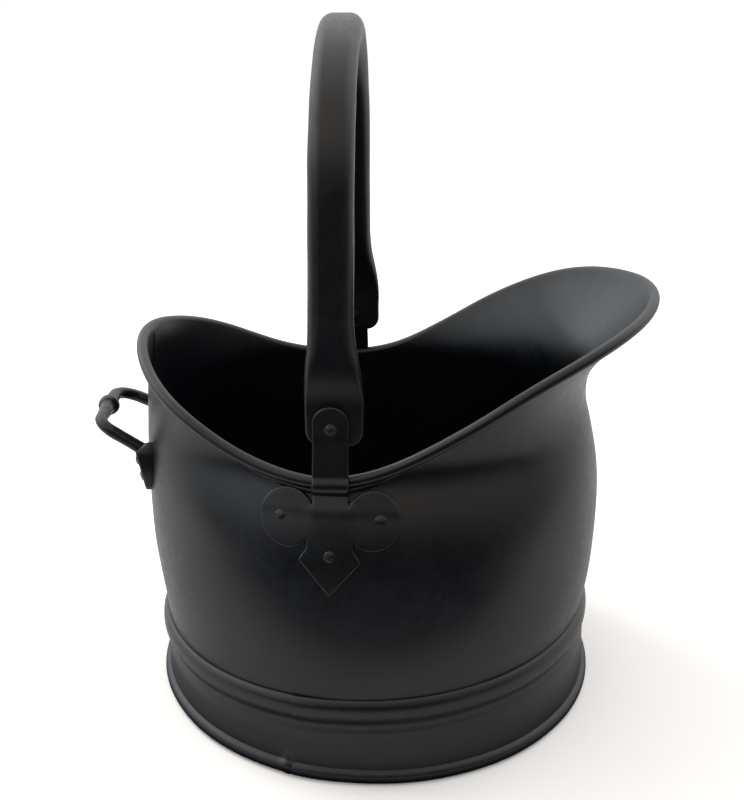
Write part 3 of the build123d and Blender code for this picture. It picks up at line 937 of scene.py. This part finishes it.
def rivets():
    """The rivets of the plates and the pivots, each with its own unevenness."""
    plate_grip = plate_sheet + body_sheet + rivet_slack
    pivot_grip = strap_sheet + bail_end_sheet + 2 * bail_side_gap
    seed = 0
    for side_name, side in sides:
        surface = strap_surface(side)
        for place_name, offset, height in (
            ("back", -plate_rivet_offset, plate_rivet_height),
            ("front", plate_rivet_offset, plate_rivet_height),
            ("leaf", 0, leaf_rivet_height),
        ):
            flat = np.array([[offset, height]])
            seat = surface(flat, [plate_sheet - rivet_sink])[0]
            seed += 1
            normal = seat - surface(flat, [0])[0]
            plate_rivet(f"{side_name}_{place_name}_rivet", seat, normal, plate_grip, seed)
        seat = (bail_place, side * (pivot_half_span + strap_sheet), pivot_height)
        seed += 1
        rivet(f"{side_name}_pivot_rivet", seat, (0, side, 0), pivot_grip,
              pivot_head, pivot_dome, pivot_shank, pivot_tail, pivot_tail_length, seed)


# Bail


def oval(width, depth, corner, count):
    """Points of a rounded rectangle, evenly turned."""
    corner = min(corner, width / 2, depth / 2)
    points = []
    for i in range(count):
        angle = 2 * pi * (i + 0.5) / count
        sx, sy = np.sign(cos(angle)), np.sign(sin(angle))
        quarter = angle % (pi / 2) if sx * sy > 0 else pi / 2 - angle % (pi / 2)
        x = width / 2 - corner + corner * cos(quarter)
        y = depth / 2 - corner + corner * sin(quarter)
        points.append((sx * x, sy * y))
    return points


def bail_stations():
    """Sections of half the bail from its top down, each with the values of a row of bail_flare."""
    arc_height = bail_apex_height - bail_limb_place * cos(bail_lean) - bail_limb_start * sin(bail_lean)
    arc_height /= 1 - sin(bail_lean)
    arc_radius = bail_apex_height - arc_height
    tube = (bail_width, bail_depth, bail_corner, 0)
    stations = []
    for angle in np.linspace(pi / 2, bail_lean, bail_arc_rows):
        stations.append((arc_radius * cos(angle), arc_height + arc_radius * sin(angle), *tube))
    y, z = stations[-1][:2]
    for share in np.linspace(0, 1, bail_limb_rows)[1:]:
        stations.append((y + (bail_limb_place - y) * share, z + (bail_limb_start - z) * share, *tube))
    keys = np.array(bail_flare)
    marks = np.arange(len(keys), dtype=float)
    flare = cubic(marks, keys, bends_of(marks, keys), np.linspace(0, len(keys) - 1, bail_flare_rows))
    stations += [tuple(row) for row in flare[1:]]
    end_bottom = pivot_height - bail_end_drop
    for share in np.linspace(0, 1, bail_end_rows)[1:]:
        z = bail_end_straight + (end_bottom - bail_end_straight) * sin(share * pi / 2)
        above = z - end_bottom
        round_off = bail_end_corner - sqrt(max(0, bail_end_corner**2 - max(0, bail_end_corner - above) ** 2))
        thin = bail_end_thin_share + (1 - bail_end_thin_share) * min(1, above / bail_end_thin_height)
        width = bail_end_width - 2 * round_off
        stations.append((bail_end_middle, z, width, bail_end_sheet * thin, bail_end_edge, bail_end_shift))
    return stations


def bail():
    """The hoop: half of its sections and their mirror images, slightly uneven."""
    stations = bail_stations()
    full = [(-y, *rest) for y, *rest in reversed(stations[1:])] + stations
    line = np.array([(y, z) for y, z, *_ in full])
    along = unit(np.gradient(line, axis=0))
    points = []
    for (y, z, width, depth, corner, shift), (ty, tz) in zip(full, along):
        out = Vector((0, tz, -ty))
        for a, b in oval(width, depth, corner, bail_ring):
            spot = Vector((bail_place + shift + a, y, z)) + out * b
            way = Vector((a, out.y * b, out.z * b)).normalized()
            points.append(spot + way * bail_uneven * noise.noise(spot * bail_uneven_scale))
    faces = grid_faces(len(full), bail_ring, False, True)
    faces += [tuple(range(bail_ring)), tuple(range(len(points) - bail_ring, len(points)))]
    piece("bail_bar", points, faces, "bail_black", "bail", "bail_handle", sharp=60)


# Tipping handle


def rounded_path(corners, radii, step):
    """Points along straight runs joined by arcs of the radii."""
    corners = [Vector(corner) for corner in corners]
    points = [corners[0]]
    for before, corner, after, radius in zip(corners, corners[1:], corners[2:], radii):
        to_before, to_after = (before - corner).normalized(), (after - corner).normalized()
        half = to_before.angle(to_after) / 2
        middle = corner + (to_before + to_after).normalized() * (radius / sin(half))
        start, end = corner + to_before * (radius / tan(half)), corner + to_after * (radius / tan(half))
        for share in np.linspace(0, 1, bend_count):
            way = (start - middle) * (1 - share) + (end - middle) * share
            points.append(middle + way.normalized() * radius)
    points.append(corners[-1])
    fine = []
    for start, end in zip(points, points[1:]):
        count = max(1, int((end - start).length / step))
        fine += [start + (end - start) * (i / count) for i in range(count)]
    return fine + [points[-1]]


def rod():
    """The handle's bent rod with its turned knob."""
    corners = [
        (leg_root_place, -grip_half_span, leg_root_height),
        grip_middle - grip_reach,
        grip_middle + grip_reach,
        (leg_root_place, grip_half_span, leg_root_height),
    ]
    line = rounded_path(corners, (grip_bend, far_grip_bend), rod_step)
    knob_end = sqrt(knob_radius**2 - knob_collar**2)
    grip_along = grip_reach.normalized()
    points = []
    for i, spot in enumerate(line):
        along = (line[min(i + 1, len(line) - 1)] - line[max(i - 1, 0)]).normalized()
        side = along.cross(Vector((0, 0, 1))).normalized()
        top = side.cross(along)
        off = abs((spot - grip_middle).dot(grip_along))
        radius = rod_radius
        if (spot - grip_middle).cross(grip_along).length < rod_radius / 10:
            radius += rod_swell * float(1 - smooth((off - rod_swell_start) / rod_swell_fade))
            if off < knob_end:
                radius = sqrt(knob_radius**2 - off**2)
            elif off < knob_end + knob_collar_length:
                ring = (off - knob_end) / knob_collar_length * 2 - 1
                radius = rod_radius + (knob_collar - rod_radius) * sqrt(max(0, 1 - ring**4))
        for column in range(rod_columns):
            angle = 2 * pi * column / rod_columns
            way = (side * cos(angle) + top * sin(angle)) * radius
            points.append(spot + way * (1 + rod_uneven * noise.noise((spot + way) * rod_uneven_scale)))
    faces = grid_faces(len(line), rod_columns, False, True)
    faces += [tuple(range(rod_columns)), tuple(range(len(points) - rod_columns, len(points)))]
    piece("tipping_handle_rod", points, faces, "strap_black", "bucket", "rear_handle")


lug_middle = (lug_top + lug_bottom) / 2


def back_turn(side_place, height):
    """The turn at the back at which the wall has the given side place, on the left."""
    return float(halved(pi / 2, pi, lambda turn: wall(turn, height)[1] > side_place))


lug_turn = back_turn(grip_half_span, lug_middle)
lug_normal = Vector(wall_normal(lug_turn, lug_middle))
lug_out = Vector((lug_normal.x, lug_normal.y, 0)).normalized()
lug_side = Vector((0, 0, 1)).cross(lug_out)
lug_foot = Vector(wall(lug_turn, lug_middle))


def lug_surface(side):
    """A mapping from flat offsets and heights to points on the left or right lug."""

    def place(flat, stand):
        points = []
        for (offset, height), off in zip(flat, stand):
            base = Vector((lug_foot.x, lug_foot.y, height)) + lug_side * offset
            turn = back_turn(base.y, height)
            spot = Vector(wall(turn, height))
            gap = (spot - base).dot(lug_out)
            points.append(base + lug_out * (gap + fit_gap + off))
        return np.array([tuple(p) for p in points]) * (1, side, 1)

    return place


def lug_thickness(offsets, heights):
    """Height of the lug's face above the wall."""
    share = (heights - lug_bottom) / (lug_top - lug_bottom)
    full = lug_bottom_stand + (lug_top_stand - lug_bottom_stand) * share
    full = full * (1 - lug_crown_share * smooth((heights - lug_crown) / (lug_top - lug_crown)))
    lean = []
    for height in heights:
        spot = Vector(wall(lug_turn, height))
        lean.append((spot - lug_foot).dot(lug_out))
    return np.maximum(full - np.array(lean), lug_least)


def lugs():
    """The leaf-shaped feet of the handle and their rivets."""
    height = lug_top - lug_bottom
    half = np.array([(x * lug_half_width, lug_bottom + z * height) for x, z in lug_shares])
    fine = [tuple(point) for point in curved(half, lug_count)]
    outline = fine + [(-x, z) for x, z in reversed(fine[1:])]
    slope = (lug_top_stand - lug_bottom_stand) / height
    for name, side in sides:
        surface = lug_surface(side)
        slab(f"tipping_handle_{name}_lug", outline, surface, lug_thickness, "strap_black")
        for place_name, rivet_height, seed in lug_rivets:
            flat = np.array([[0.0, rivet_height]])
            full = lug_thickness(flat[:, 0], flat[:, 1])
            seat = surface(flat, full - rivet_sink)[0]
            normal = lug_out - Vector((0, 0, 1)) * slope
            normal.y *= side
            grip = full[0] + body_sheet + lug_rivet_slack
            plate_rivet(f"handle_{name}_{place_name}_rivet", seat, normal, grip, seed + side)


body()
rim_wire()
lap_seam()
band()
straps()
rivets()
bail()
rod()
lugs()


# Floor, light and camera


def mixed(tree, factor, first, second):
    """The first shader, or the second where the factor is 1."""
    made = node(tree, "ShaderNodeMixShader")
    tree.links.new(factor, made.inputs["Fac"])
    tree.links.new(first, made.inputs[1])
    tree.links.new(second, made.inputs[2])
    return made.outputs["Shader"]


def floor():
    """A pale floor that the camera sees almost white. Reflections see it dark beyond the near edge of a sheet
    that it stands for, and see a painted shadow on it close to the foot."""
    corners = [(x * floor_reach, y * floor_reach, 0) for x, y in ((-1, -1), (1, -1), (1, 1), (-1, 1))]
    mesh = bpy.data.meshes.new("floor")
    mesh.from_pydata(corners, [], [(0, 1, 2, 3)])
    material = bpy.data.materials.new("floor")
    material.use_nodes = True
    tree = material.node_tree
    tree.nodes.clear()
    path = node(tree, "ShaderNodeLightPath")
    place = node(tree, "ShaderNodeTexCoord")
    split = node(tree, "ShaderNodeSeparateXYZ")
    tree.links.new(place.outputs["Object"], split.inputs["Vector"])
    seen = node(tree, "ShaderNodeBsdfDiffuse")
    seen.inputs["Color"].default_value = (*floor_seen, 1)
    lit = node(tree, "ShaderNodeBsdfDiffuse")
    lit.inputs["Color"].default_value = (*floor_colour, 1)
    dark = node(tree, "ShaderNodeBsdfDiffuse")
    dark.inputs["Color"].default_value = (*room_and_shadow_colour, 1)
    edge_share = spread(tree, split.outputs["Y"], *sheet_edge, 0, 1)
    shine = mixed(tree, edge_share, lit.outputs["BSDF"], dark.outputs["BSDF"])
    # Painted shadow: reflections see the floor dark close to the foot
    away = node(tree, "ShaderNodeVectorMath", operation="LENGTH")
    tree.links.new(place.outputs["Object"], away.inputs[0])
    contact_share = spread(tree, away.outputs["Value"], *contact_shade, 1, 0)
    shine = mixed(tree, contact_share, shine, dark.outputs["BSDF"])
    bounce = mixed(tree, path.outputs["Is Glossy Ray"], lit.outputs["BSDF"], shine)
    whole = mixed(tree, path.outputs["Is Camera Ray"], bounce, seen.outputs["BSDF"])
    out = node(tree, "ShaderNodeOutputMaterial")
    tree.links.new(whole, out.inputs["Surface"])
    mesh.materials.append(material)
    made = bpy.data.objects.new("floor", mesh)
    scene.collection.objects.link(made)


def glow(tree, split, colour, parts):
    """A background whose strength is the product of its parts: axis, from, to, low, high."""
    total = None
    for axis, low, high, bottom, top in parts:
        part = spread(tree, split.outputs[axis], low, high, bottom, top)
        if total is None:
            total = part
        else:
            product = node(tree, "ShaderNodeMath", operation="MULTIPLY")
            tree.links.new(total, product.inputs[0])
            tree.links.new(part, product.inputs[1])
            total = product.outputs["Value"]
    made = node(tree, "ShaderNodeBackground")
    made.inputs["Color"].default_value = (*colour, 1)
    tree.links.new(total, made.inputs["Strength"])
    return made.outputs["Background"]


def sky():
    """White surroundings for the camera, even light for matt surfaces, and for reflections a dark room with
    soft windows behind, above and to the left, and a faint one to the right."""
    world = bpy.data.worlds.new("studio")
    scene.world = world
    world.use_nodes = True
    tree = world.node_tree
    tree.nodes.clear()
    path = node(tree, "ShaderNodeLightPath")
    place = node(tree, "ShaderNodeTexCoord")
    split = node(tree, "ShaderNodeSeparateXYZ")
    tree.links.new(place.outputs["Generated"], split.inputs["Vector"])
    seen = node(tree, "ShaderNodeBackground")
    seen.inputs["Color"].default_value = (1, 1, 1, 1)
    soft = node(tree, "ShaderNodeBackground")
    soft.inputs["Color"].default_value = (1, 1, 1, 1)
    soft.inputs["Strength"].default_value = soft_strength
    shine = glow(tree, split, *reflected[0])
    for entry in reflected[1:]:
        both = node(tree, "ShaderNodeAddShader")
        tree.links.new(shine, both.inputs[0])
        tree.links.new(glow(tree, split, *entry), both.inputs[1])
        shine = both.outputs["Shader"]
    light = mixed(tree, path.outputs["Is Glossy Ray"], soft.outputs["Background"], shine)
    whole = mixed(tree, path.outputs["Is Camera Ray"], light, seen.outputs["Background"])
    out = node(tree, "ShaderNodeOutputWorld")
    tree.links.new(whole, out.inputs["Surface"])


def lamp(name, place, size, power):
    """A square soft box that reflections don't show."""
    light = bpy.data.lights.new(name, "AREA")
    light.size = size
    light.energy = power
    made = bpy.data.objects.new(name, light)
    made.location = place
    made.rotation_euler = (Vector(lamp_aim) - Vector(place)).to_track_quat("-Z", "Y").to_euler()
    made.visible_glossy = False
    scene.collection.objects.link(made)


def camera():
    """The photograph's camera."""
    data = bpy.data.cameras.new("camera")
    data.sensor_fit = "VERTICAL"
    data.sensor_height = sensor_height
    data.lens = focal_pixels * sensor_height / frame_height
    made = bpy.data.objects.new("camera", data)
    turn = Matrix.Rotation(radians(camera_azimuth), 4, "Z")
    tilt = Matrix.Rotation(radians(90 - camera_down), 4, "X")
    roll = Matrix.Rotation(radians(camera_roll), 4, "Z")
    made.matrix_world = Matrix.Translation(camera_place) @ turn @ tilt @ roll
    scene.collection.objects.link(made)
    scene.camera = made


floor()
sky()
for name, box in lamps.items():
    lamp(name, *box)
camera()
scene.view_settings.view_transform = "Standard"
